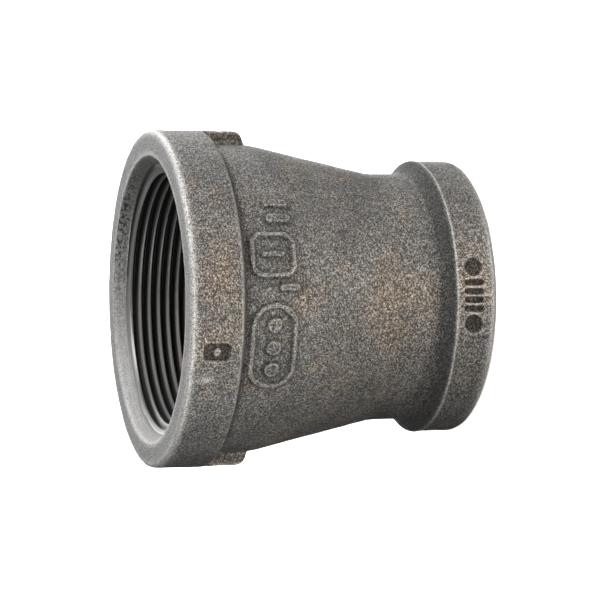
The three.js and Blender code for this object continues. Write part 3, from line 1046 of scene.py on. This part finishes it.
CAMERA_DISTANCE = 647.6  # to the middle of the object
CAMERA_LENS = 171.5
CAMERA_CLIP = 0.01  # metres
CAMERA_ELEVATION = 17.41  # above the level of the end faces
CAMERA_ROLL = 0.63
CAMERA_ASIDE = 0.10  # the middle of the object lies this far right of the picture's middle
CAMERA_BELOW = 0.57  # and this far above it
MIDDLE = Vector((0, 0, LENGTH / 2))

WORLD_STRENGTH = 0.03
WORLD_COLOUR = (0.97, 0.985, 1.0, 1)
BACKDROP_COLOUR = (0.97, 0.97, 0.97, 1)
FLOOR_LEVEL = -0.1  # just under the object
FLOOR_REACH = 4.0  # metres
FLOOR_COLOUR = (0.86, 0.86, 0.86, 1)
FLOOR_ROUGHNESS = 0.9
FLOOR_LIGHT = 3.9
FLOOR_LIGHT_SPREAD = 100
WHITE = (1.0, 1.0, 1.0)
WARM = (1.0, 0.95, 0.88)

# Softboxes round the object. Places and sizes are in metres, and powers are in watts.
SOFTBOXES = [
    SimpleNamespace(name="top_box", place=(0.85, -0.05, 0.03), size=0.5, power=2.3, colour=WHITE),
    SimpleNamespace(name="top_left_box", place=(0.65, -0.15, 0.6), size=0.5, power=10, colour=WHITE),
    SimpleNamespace(name="left_box", place=(0.45, -0.1, 0.8), size=0.4, power=1.4, colour=WHITE),
    SimpleNamespace(name="front_box", place=(0.1, -0.85, 0.03), size=0.3, power=3.2, colour=WARM),
    SimpleNamespace(name="front_right_box", place=(0.12, -0.56, -0.6), size=0.18, power=7.8, colour=WARM),
    SimpleNamespace(name="right_box", place=(0.1, -0.2, -0.8), size=0.3, power=1.8, colour=WHITE),
    SimpleNamespace(name="band_box", place=(-0.1, -0.1, 0.11), size=0.06, power=0.17, colour=WHITE),
    SimpleNamespace(name="back_box", place=(0.1, 0.8, 0.4), size=0.5, power=2.8, colour=WHITE),
    SimpleNamespace(name="rear_box", place=(0.05, 0.9, -0.3), size=0.5, power=9, colour=WHITE),
    SimpleNamespace(name="top_back_box", place=(0.6, 0.6, 0.1), size=0.5, power=4.6, colour=WHITE),
]


def add_camera():
    """A camera that sees the object lying on its side, with +X up and the large end on the left."""
    tilt, roll = math.radians(CAMERA_ELEVATION), math.radians(CAMERA_ROLL)
    back = Vector((0, -math.cos(tilt), math.sin(tilt)))
    level_right = Vector((0, -math.sin(tilt), -math.cos(tilt)))
    level_up = Vector((1, 0, 0))
    right = math.cos(roll) * level_right - math.sin(roll) * level_up
    up = math.sin(roll) * level_right + math.cos(roll) * level_up
    place = MIDDLE + CAMERA_DISTANCE * back - CAMERA_ASIDE * right - CAMERA_BELOW * up
    turn = Matrix((right, up, back)).transposed().to_4x4()
    camera = bpy.data.objects.new("camera", bpy.data.cameras.new("camera"))
    camera.matrix_world = Matrix.Translation(place * METRES) @ turn
    camera.data.lens = CAMERA_LENS
    camera.data.clip_start = CAMERA_CLIP
    bpy.context.collection.objects.link(camera)
    bpy.context.scene.camera = camera


def add_floor():
    """A pale floor. It takes the object's shadow, but it lets the softboxes' light through and throws
    none back, so that it doesn't change how the object is lit."""
    half, level = FLOOR_REACH, FLOOR_LEVEL * METRES
    mesh = bpy.data.meshes.new("floor")
    corners = [(-half, -half, level), (half, -half, level), (half, half, level), (-half, half, level)]
    mesh.from_pydata(corners, [], [(0, 1, 2, 3)])
    floor = bpy.data.objects.new("floor", mesh)
    bpy.context.collection.objects.link(floor)
    material = bpy.data.materials.new("pale_floor")
    material.use_nodes = True
    shader = material.node_tree.nodes["Principled BSDF"]
    shader.inputs["Base Color"].default_value = FLOOR_COLOUR
    shader.inputs["Roughness"].default_value = FLOOR_ROUGHNESS
    mesh.materials.append(material)
    floor.visible_diffuse = floor.visible_glossy = floor.visible_shadow = False
    return floor


def add_softbox(name, place, size, power, colour):
    """A square area light, aimed at the middle of the object."""
    light = bpy.data.lights.new(name, "AREA")
    light.size = size
    light.energy = power
    light.color = colour
    lamp = bpy.data.objects.new(name, light)
    lamp.location = place
    aim = MIDDLE * METRES - Vector(place)
    lamp.rotation_euler = aim.to_track_quat("-Z", "Y").to_euler()
    bpy.context.collection.objects.link(lamp)


def add_floor_light(floor):
    """An even soft light from above that falls on the floor only."""
    light = bpy.data.lights.new("floor_light", "SUN")
    light.energy = FLOOR_LIGHT
    light.angle = math.radians(FLOOR_LIGHT_SPREAD)
    lamp = bpy.data.objects.new("floor_light", light)
    lamp.location = (0, 0, 1)
    bpy.context.collection.objects.link(lamp)
    only_floor = bpy.data.collections.new("only_floor")
    only_floor.objects.link(floor)
    lamp.light_linking.receiver_collection = only_floor


def add_world():
    """A little even light, in front of a plain pale backdrop."""
    world = bpy.data.worlds.new("studio")
    world.use_nodes = True
    tree = world.node_tree
    tree.nodes.clear()
    n = Nodes(tree)
    light = n.add("ShaderNodeBackground", {"Color": WORLD_COLOUR, "Strength": WORLD_STRENGTH})
    backdrop = n.add("ShaderNodeBackground", {"Color": BACKDROP_COLOUR, "Strength": 1.0})
    seen = n.add("ShaderNodeLightPath").outputs["Is Camera Ray"]
    both = n.add("ShaderNodeMixShader", {0: seen, 1: light.outputs[0], 2: backdrop.outputs[0]})
    n.add("ShaderNodeOutputWorld", {"Surface": both.outputs[0]})
    bpy.context.scene.world = world


def build_studio():
    add_camera()
    floor = add_floor()
    add_world()
    for lamp in SOFTBOXES:
        add_softbox(**vars(lamp))
    add_floor_light(floor)
    bpy.context.scene.view_settings.view_transform = "Standard"


def build_coupling():
    mesh = build_mesh()
    mesh.materials.append(cast_iron())
    coupling = bpy.data.objects.new("coupling_skin", mesh)
    bpy.context.collection.objects.link(coupling)
    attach(coupling, "root")
    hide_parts(NODE)


build_studio()
build_coupling()
